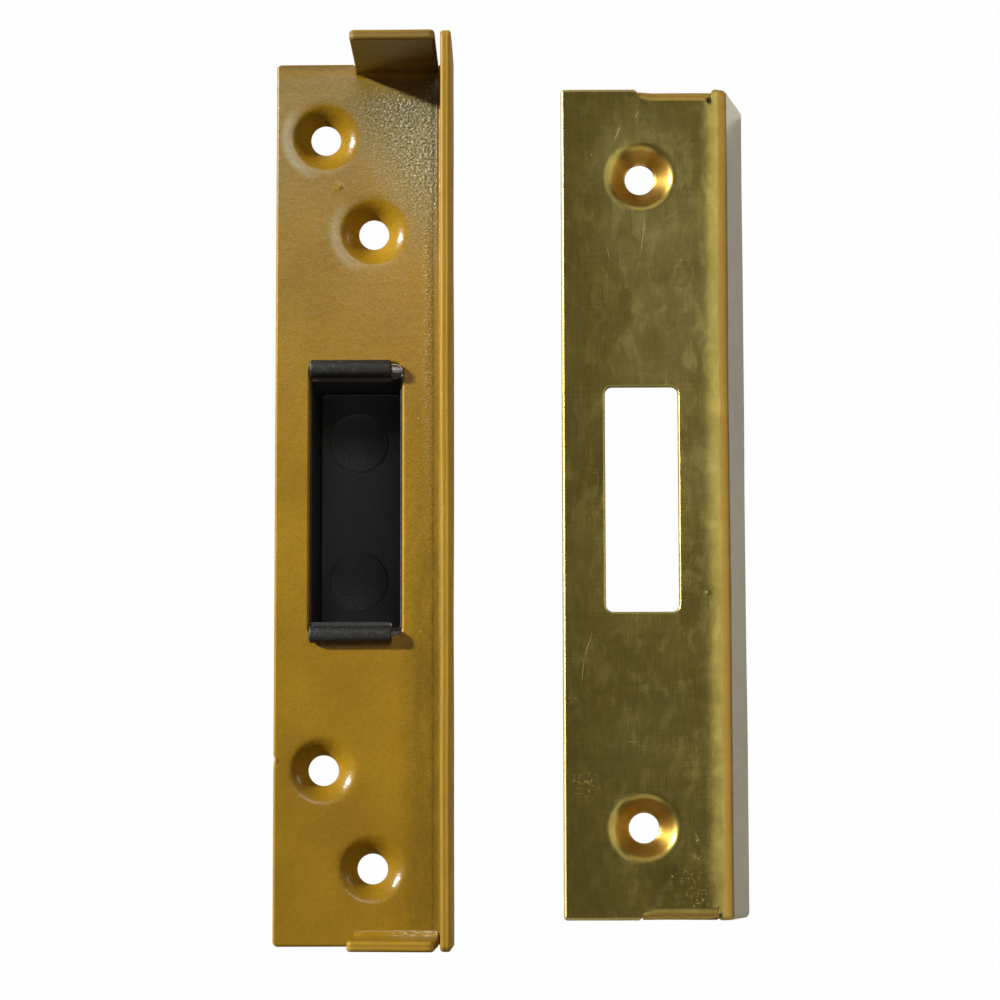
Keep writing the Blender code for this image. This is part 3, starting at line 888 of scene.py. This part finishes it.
    # dust and pin marks
    dist, rnd = g.cells(p, 0.42)
    pick = g.span(g.xyz(rnd)[0], 0.94, 0.96)
    speck = g.mul(front, pick, g.span(dist, 0.06, 0.025))
    marks = g.largest([g.dot(p, (20.6, -18.7), 0.13), g.dot(p, (20.2, 11.4), 0.14),
                       g.dot(p, (8.75, 44.5), 0.16), g.dot(p, (18.3, -31.5), 0.12)])
    col = g.mix(g.mul(g.math("MAXIMUM", speck, marks), 0.5), col, (0.66, 0.60, 0.40))
    chip = g.mul(g.dot(p, (0.55, -36.75), 0.55), g.span(g.noise(p, 2.2, 2.0), 0.42, 0.58))
    col = g.mix(g.mul(chip, 0.75), col, (0.10, 0.065, 0.02))
    g.put(g.bsdf.inputs["Base Color"], col)
    rough = g.span(g.noise(p, 0.5, 3.0, 0.6), 0.2, 0.8, 0.20, 0.27, "LINEAR")
    rough = g.add(rough, g.mul(area, 0.06))
    rough = g.add(rough, g.span(edge, 0.1, 0.7, 0.0, 0.17))
    rough = g.add(rough, g.span(side, 0.2, -0.5, 0.0, 0.40))
    g.put(g.bsdf.inputs["Roughness"], rough)
    g.put(g.bsdf.inputs["Specular IOR Level"], g.span(edge, 0.1, 0.6, 0.5, 0.22))
    peel = g.bump(g.noise(p, 0.85, 2.0, 0.5), 0.000040)
    fine = g.bump(g.mul(grain, g.add(g.mul(patch, 0.93), 0.07)), 0.000290, peel)
    g.put(g.bsdf.inputs["Normal"], fine)
    return g.mat


def brass():
    g = Graph("brass_brushed")
    p = g.attr("flat", "Vector")
    u, v, side = g.xyz(p)
    edge = g.attr("edge")
    bend = g.attr("bend")
    front = g.span(side, 0.3, 0.95)
    face = g.mul(front, g.span(bend, 0.16, 0.02))
    cloud = g.noise(p, 0.055, 4.0, 0.6, distort=0.4)
    mott = g.noise(p, 0.28, 4.0, 0.65)
    smear = g.noise(p, 0.42, 5.0, 0.62, (1.25, 0.6, 1.0), 0.6)
    col = g.mix(g.span(cloud, 0.3, 0.7), (0.44, 0.332, 0.074), (0.72, 0.562, 0.142))
    col = g.mix(g.mul(g.span(mott, 0.40, 0.68), 0.55), col, (0.35, 0.268, 0.060))
    col = g.mix(g.mul(face, g.span(smear, 0.47, 0.66), 0.56), col, (0.95, 0.775, 0.225))
    blot = g.span(g.noise(p, 0.17, 5.0, 0.62), 0.28, 0.72, -1.0, 1.0, "LINEAR")
    col = g.vec("SCALE", col, g.add(1.0, g.mul(face, blot, g.span(v, -10.0, -35.0, 0.10, 0.26))))
    # faint hairlines left by handling, in three directions
    hair = []
    for turn, seed in ((0.45, 3.0), (-0.32, 11.0), (1.25, 23.0)):
        c, w = math.cos(turn), math.sin(turn)
        across_ = g.add(g.math("MULTIPLY_ADD", u, c, g.mul(v, w)), seed)
        along_ = g.math("MULTIPLY_ADD", u, -w, g.mul(v, c))
        q = g.node("ShaderNodeCombineXYZ")
        g.put(q.inputs[0], g.mul(across_, 5.0))
        g.put(q.inputs[1], g.mul(along_, 0.14))
        hair.append(g.span(g.noise(q.outputs[0], 1.0, 2.0, 0.5), 0.66, 0.76))
    hair = g.mul(face, g.largest(hair), g.span(mott, 0.35, 0.6, 0.2, 1.0))
    col = g.mix(g.mul(hair, 0.40), col, (0.95, 0.80, 0.30))
    # fine brushing along and across the sheet, only just seen
    along = g.noise(p, 1.0, 3.0, 0.6, (5.2, 0.16, 1.0))
    across = g.noise(p, 1.0, 3.0, 0.6, (0.14, 5.6, 1.0))
    weave = g.math("MULTIPLY_ADD", across, 0.45, g.mul(along, 0.55))
    col = g.mix(g.span(weave, 0.36, 0.64), g.mix(1.0, col, (0.84, 0.835, 0.81), "MULTIPLY"), col)
    # painted highlight: brighter places standing in for the sheen of the light on the face
    painted_sheen_spots = g.largest([g.mul(g.dot(p, (12.5, 38.5), 11.0), 1.0), g.mul(g.dot(p, (18.0, 4.0), 8.0), 0.55),
                     g.mul(g.dot(p, (14.0, 21.0), 9.0), 0.6), g.mul(g.dot(p, (12.0, -33.0), 9.0), 0.4),
                     g.mul(g.dot(p, (11.6, 48.5), 10.5), 0.95), g.mul(g.dot(p, (17.2, 27.0), 9.0), 0.95)])
    painted_sheen_spots = g.mul(face, painted_sheen_spots, g.span(smear, 0.25, 0.7, 0.45, 1.0))
    col = g.mix(g.mul(painted_sheen_spots, 0.55), col, (1.0, 0.84, 0.29))
    # painted shade: darker towards the lower end, along the free side and near the upper end
    low = g.mul(face, g.span(v, 10.0, -58.0), g.span(mott, 0.32, 0.62, 0.35, 1.0))
    col = g.mix(g.mul(low, 0.58), col, (0.27, 0.206, 0.048))
    free = g.mul(face, g.span(u, 10.0, 0.5), g.span(cloud, 0.3, 0.7, 0.6, 1.0))
    col = g.mix(g.mul(free, 0.60), col, (0.33, 0.246, 0.050))
    top = g.mul(face, g.span(v, 46.0, 58.0), g.span(mott, 0.3, 0.7, 0.5, 1.0))
    col = g.mix(g.mul(top, 0.38), col, (0.33, 0.252, 0.056))
    # painted reflections over the bends and down the countersinks: a yellow band where the bend starts, orange over
    # the bend, a dark line where it turns to face the floor, and orange inside the countersinks
    outside = g.math("MAXIMUM", g.span(u, 20.0, 21.0), g.span(g.math("ABSOLUTE", v), 55.0, 56.5))
    ragged = g.math("MULTIPLY_ADD", g.noise(p, 0.9, 4.0, 0.65, (1.0, 0.35, 1.0)), 0.16, g.math("SUBTRACT", bend, 0.08))
    painted_bend_highlight = g.mul(front, g.span(u, 20.0, 21.0), g.bell(bend, 0.11, 0.10), g.span(mott, 0.3, 0.7, 0.5, 1.0),
                  g.span(v, -55.0, 52.0))
    col = g.mix(g.mul(painted_bend_highlight, 0.30), col, (0.96, 0.79, 0.15))
    painted_bend_reflection = g.mul(front, outside, g.span(ragged, 0.14, 0.24), g.span(bend, 0.84, 0.70))
    under = g.mul(g.span(v, -54.5, -56.0), g.span(u, 21.7, 21.2))
    painted_bend_reflection = g.mul(painted_bend_reflection, g.inv(g.mul(under, g.span(ragged, 0.22, 0.50, 1.0, 0.25))))
    col = g.mix(g.mul(painted_bend_reflection, g.span(mott, 0.2, 0.8, 0.6, 0.95)), col, (0.66, 0.370, 0.070))
    line = g.mul(front, g.span(u, 20.0, 21.0), g.bell(bend, 0.70, 0.17), g.span(mott, 0.2, 0.7, 0.6, 1.0))
    col = g.mix(g.mul(line, 0.85), col, (0.24, 0.118, 0.038))
    # painted reflection: orange down the countersinks
    pressed = g.mul(front, g.inv(outside), g.span(bend, 0.30, 0.46))
    col = g.mix(g.mul(pressed, 0.85), col, (0.74, 0.450, 0.088))
    # painted reflection: a pale, near-neutral tint on the flange, standing in for its grey grazing reflection
    wall = g.mul(front, g.span(bend, 0.76, 0.86), g.span(u, 20.5, 22.5))
    col = g.mix(g.mul(wall, 0.85), col, (0.88, 0.82, 0.66))
    # bright edges: worn brass with a painted highlight of the light on them
    worn_and_highlit_edges = g.mul(g.span(edge, 0.1, 0.6), g.span(g.noise(p, 0.9, 3.0, 0.6), 0.28, 0.55, 0.55, 1.0))
    col = g.mix(g.mul(worn_and_highlit_edges, 0.70), col, (0.76, 0.62, 0.26))
    # painted shade in the corner of the slits
    nook = g.mul(g.span(edge, 0.1, 0.5), g.bell(u, 21.45, 0.9), g.span(g.math("ABSOLUTE", v), 56.4, 57.0))
    col = g.mix(g.mul(nook, 0.8), col, (0.30, 0.19, 0.05))
    # scratches and specks
    sc = [g.line(p, a, b, w) for a, b, w in (
        ((11.15, 55.8), (10.6, 54.6), 0.085), ((8.5, 53.6), (7.7, 51.5), 0.085),
        ((12.0, 40.8), (11.3, 34.6), 0.06), ((4.1, -19.0), (3.0, -22.4), 0.06),
        ((3.0, -22.4), (2.6, -26.0), 0.045), ((6.5, 36.2), (6.9, 34.2), 0.04),
        ((16.8, 41.2), (14.2, 39.6), 0.04), ((9.0, -34.1), (10.3, -34.3), 0.045),
        ((18.2, -46.8), (18.9, -47.9), 0.05), ((17.3, 34.6), (16.4, 33.0), 0.04))]
    dist, rnd = g.cells(p, 0.62)
    r0, r1, _ = g.xyz(rnd)
    pick = g.span(r0, 0.93, 0.95)
    speck = g.mul(front, pick, g.span(dist, g.mul(r1, 0.08), 0.0))
    crust = g.mul(g.largest([g.dot(p, (3.0, -40.3), 2.8), g.dot(p, (18.5, -55.5), 2.8), g.dot(p, (3.1, -31.8), 0.8),
                             g.dot(p, (1.3, -28.4), 0.9), g.dot(p, (19.0, -52.8), 0.7), g.dot(p, (18.9, -50.3), 0.7),
                             g.dot(p, (17.0, -52.8), 1.8)]),
                  g.span(g.noise(p, 2.6, 3.5, 0.65), 0.54, 0.64))
    light = g.largest([g.mul(x, 0.95) for x in sc]
                      + [g.dot(p, (20.2, -13.2), 0.26), g.dot(p, (4.4, 49.4), 0.14),
                         g.dot(p, (18.6, -47.9), 0.2), g.dot(p, (15.1, -52.9), 0.17)])
    crust = g.mul(front, crust)
    col = g.mix(g.mul(crust, 0.70), col, (0.92, 0.70, 0.22))
    light = g.mul(g.math("MAXIMUM", light, g.mul(speck, 0.8)), front)
    col = g.mix(g.mul(light, 0.8), col, (1.0, 0.90, 0.52))
    # painted shade in the relief pits at the corners of the slits
    pits = g.largest([g.dot(p, (21.1, 57.1), 0.62), g.dot(p, (21.6, -58.3), 0.5)])
    col = g.mix(g.mul(pits, 0.96), col, (0.045, 0.032, 0.024))
    g.put(g.bsdf.inputs["Base Color"], col)
    g.bsdf.inputs["Metallic"].default_value = 1.0
    rough = g.span(weave, 0.3, 0.7, 0.25, 0.31, "LINEAR")
    rough = g.add(rough, g.mul(g.span(mott, 0.4, 0.8), 0.06))
    rough = g.add(rough, g.mul(g.math("MAXIMUM", light, g.mul(crust, 0.7)), 0.16))
    rough = g.add(rough, g.mul(painted_bend_reflection, 0.20))
    rough = g.add(rough, g.mul(nook, 0.35))
    rough = g.add(rough, g.mul(front, g.inv(outside), g.span(bend, 0.04, 0.25), 0.04))
    rough = g.add(rough, g.math("MAXIMUM", g.mul(g.span(edge, 0.05, 0.5), 0.20), g.mul(pits, 0.3)))
    g.put(g.bsdf.inputs["Roughness"], rough)
    b = g.bump(weave, 0.0000018)
    b = g.bump(smear, 0.000012, b)
    g.put(g.bsdf.inputs["Normal"], b)
    return g.mat


def plastic():
    g = Graph("black_moulded_plastic")
    tc = g.node("ShaderNodeTexCoord").outputs["Object"]
    p = g.vec("SCALE", tc, 1000.0)
    grain = g.noise(p, 3.4, 3.0, 0.6)
    blot = g.noise(p, 0.35, 3.0, 0.55)
    x, y, z = g.xyz(p)
    raised = g.span(z, STRIKE_Z - 0.6, STRIKE_Z + 0.6)
    col = g.mix(g.span(blot, 0.3, 0.7), (0.0064, 0.0067, 0.0077), (0.0090, 0.0094, 0.0105))
    # painted light: the walls are made up to three times lighter than the floor of the pocket, to lift the shade on
    # them
    col = g.vec("SCALE", col, g.span(z, 1.7, 3.0, 1.0, 3.0))
    # painted glints: bright flecks in the grain of the raised lips, standing in for the speckled sheen of the light on
    # them
    col = g.mix(raised, col, (0.0112, 0.0110, 0.0098))
    col = g.mix(g.mul(raised, g.span(grain, 0.56, 0.70), 0.6), col, (0.10, 0.098, 0.080))
    # painted shade: a pale sheet across the window's corner, coloured like the shaded floor that shows through there
    thin = g.mul(g.span(y, DS_Y + 18.3, DS_Y + 18.45), g.span(x, DS_X + 5.0, DS_X + 5.15),
                 g.span(z, STRIKE_Z - 0.6, STRIKE_Z - 0.75), g.span(z, STRIKE_Z - 1.7, STRIKE_Z - 1.5))
    col = g.mix(thin, col, (0.34, 0.315, 0.305))
    g.put(g.bsdf.inputs["Base Color"], col)
    g.put(g.bsdf.inputs["Roughness"], g.span(grain, 0.3, 0.7, 0.42, 0.60, "LINEAR"))
    g.put(g.bsdf.inputs["Normal"], g.bump(grain, 0.00003))
    return g.mat


strike.data.materials.append(gold_paint())
forend.data.materials.append(brass())
socket.data.materials.clear()
socket.data.materials.append(plastic())

for piece, body, node, slot in ((strike, "strike", "strike_plate", "gold_paint"),
                                (forend, "forend", "forend_cover", "brass"),
                                (socket, "socket", "dust_socket", "black_plastic")):
    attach(piece, body)
    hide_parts(node)

# --------------------------------------------------------------------------
# Floor, light and camera
# --------------------------------------------------------------------------
bpy.ops.mesh.primitive_plane_add(size=36.0, location=(0, 0, -0.0002))
floor = bpy.context.object
floor.name = "floor"
fm = bpy.data.materials.new("floor")
fm.use_nodes = True
nt = fm.node_tree
b = nt.nodes["Principled BSDF"]
b.inputs["Base Color"].default_value = (0.85, 0.85, 0.85, 1)
b.inputs["Roughness"].default_value = 0.9
em = nt.nodes.new("ShaderNodeEmission")
em.inputs["Color"].default_value = (1, 1, 1, 1)
em.inputs["Strength"].default_value = 1.0
mx = nt.nodes.new("ShaderNodeMixShader")
lp = nt.nodes.new("ShaderNodeLightPath")
mt = nt.nodes.new("ShaderNodeMath")
mt.operation = "MULTIPLY"
mt.inputs[1].default_value = 0.985
nt.links.new(lp.outputs["Is Camera Ray"], mt.inputs[0])
nt.links.new(mt.outputs[0], mx.inputs[0])
nt.links.new(b.outputs[0], mx.inputs[1])
nt.links.new(em.outputs[0], mx.inputs[2])
nt.links.new(mx.outputs[0], nt.nodes["Material Output"].inputs["Surface"])
floor.data.materials.append(fm)

# a low key from the left, a little from above; the forend cover has a key of
# its own from the same side, so that the raised flange beside it does not
# take its light
def sun(name, energy, off_normal, receivers, blockers=None, way=(-0.936, 0.351)):
    lamp = bpy.data.lights.new(name, "SUN")
    lamp.energy = energy
    lamp.angle = math.radians(5.0)
    ob = bpy.data.objects.new(name, lamp)
    bpy.context.scene.collection.objects.link(ob)
    s, c = math.sin(math.radians(off_normal)), math.cos(math.radians(off_normal))
    ob.rotation_mode = "QUATERNION"
    ob.rotation_quaternion = Vector((way[0] * s, way[1] * s, c)).to_track_quat("Z", "Y")
    lit = bpy.data.collections.new(name + "_lit")
    for r in receivers:
        lit.objects.link(r)
    ob.light_linking.receiver_collection = lit
    if blockers:
        cast = bpy.data.collections.new(name + "_cast")
        for r in blockers:
            cast.objects.link(r)
        ob.light_linking.blocker_collection = cast


sun("key_strike", 5.7, 66.0, [strike, socket], way=(-0.914, 0.406))
sun("key_floor", 2.6, 66.0, [floor])
sun("fill_floor", 0.22, 20.0, [floor], [floor])
sun("key_forend", 4.2, 66.0, [forend], [forend])


def panel(name, aim, toward, distance, wide, high, radiance, receivers):
    """Soft box that faces the point aim from the direction toward."""
    lamp = bpy.data.lights.new(name, "AREA")
    lamp.shape = "RECTANGLE"
    lamp.size, lamp.size_y = wide, high
    lamp.energy = radiance * math.pi * wide * high
    ob = bpy.data.objects.new(name, lamp)
    bpy.context.scene.collection.objects.link(ob)
    d = Vector(toward).normalized()
    ob.location = Vector(aim) + d * distance
    ob.rotation_mode = "QUATERNION"
    ob.rotation_quaternion = d.to_track_quat("Z", "Y")
    lit = bpy.data.collections.new(name + "_lit")
    for r in receivers:
        lit.objects.link(r)
    ob.light_linking.receiver_collection = lit


# soft boxes: two over the far end for the paint, one for the inside of the
# socket, one low at the right for the outside of the flange, and four round
# the brass
ST_AIM, FC_AIM = (-0.021, 0.0, 0.0155), (0.019, 0.0, 0.0145)
panel("top_box", ST_AIM, (0.06, 0.46, 0.88), 1.0, 0.60, 0.30, 2.5, [strike, socket])
panel("rim_box", ST_AIM, (0.12, 0.33, 0.935), 1.0, 0.14, 0.14, 5.5, [strike])
panel("pocket_box", (-0.022, 0.0, 0.012), (0.06, -0.50, 0.86), 1.0, 0.8, 0.4, 1.15, [socket])
panel("low_box", ST_AIM, (0.97, 0.0, 0.24), 1.0, 1.0, 0.30, 4.5, [strike])
panel("side_box", FC_AIM, (0.66, 0.0, 0.75), 1.2, 1.2, 1.3, 0.76, [forend, floor])
panel("wing_box", FC_AIM, (0.96, 0.0, 0.26), 1.3, 1.2, 0.6, 0.45, [forend, floor])
panel("far_box", FC_AIM, (0.0, 0.82, 0.57), 1.2, 1.2, 0.8, 0.60, [forend])
panel("near_box", FC_AIM, (0.0, -0.82, 0.57), 1.2, 1.2, 0.8, 0.55, [forend])

world = bpy.data.worlds.new("studio")
bpy.context.scene.world = world
world.use_nodes = True
wn = world.node_tree
bg = wn.nodes["Background"]


def wnode(kind, **props):
    n = wn.nodes.new(kind)
    for k, v in props.items():
        setattr(n, k, v)
    return n


def wmath(op, a, b):
    n = wnode("ShaderNodeMath", operation=op)
    for s, x in zip(n.inputs, (a, b)):
        if isinstance(x, bpy.types.NodeSocket):
            wn.links.new(x, s)
        else:
            s.default_value = x
    return n.outputs[0]


def wspan(x, lo, hi, a, b):
    n = wnode("ShaderNodeMapRange", interpolation_type="SMOOTHSTEP")
    wn.links.new(x, n.inputs[0])
    for s, val in zip(list(n.inputs)[1:5], (lo, hi, a, b)):
        s.default_value = val
    return n.outputs[0]


sep = wnode("ShaderNodeSeparateXYZ")
wn.links.new(wnode("ShaderNodeTexCoord").outputs["Generated"], sep.inputs[0])
wx, wy = sep.outputs[0], sep.outputs[1]
oy = wmath("MULTIPLY", wmath("SUBTRACT", wy, 0.06), 0.6)
ring = wmath("SQRT", wmath("ADD", wmath("MULTIPLY", wx, wx), wmath("MULTIPLY", oy, oy)), 0.0)
sky = wmath("MULTIPLY", wspan(ring, 0.16, 0.5, 0.118, 0.075), wspan(wy, -0.6, -0.05, 0.35, 1.0))
wn.links.new(sky, bg.inputs["Strength"])
bg.inputs["Color"].default_value = (1.0, 1.0, 1.0, 1.0)

cam = bpy.data.cameras.new("camera")
cam.sensor_width = 36.0
cam.lens = 102.858148
cam.shift_y = 0.045
cam.clip_start, cam.clip_end = 0.01, 20.0
co = bpy.data.objects.new("camera", cam)
bpy.context.scene.collection.objects.link(co)
co.location = (0.001858920, -0.046136259, 0.414693057)
co.rotation_euler = (0.098680138, 0.009815881, -0.002202527)
bpy.context.scene.camera = co
bpy.context.scene.view_settings.view_transform = "Standard"
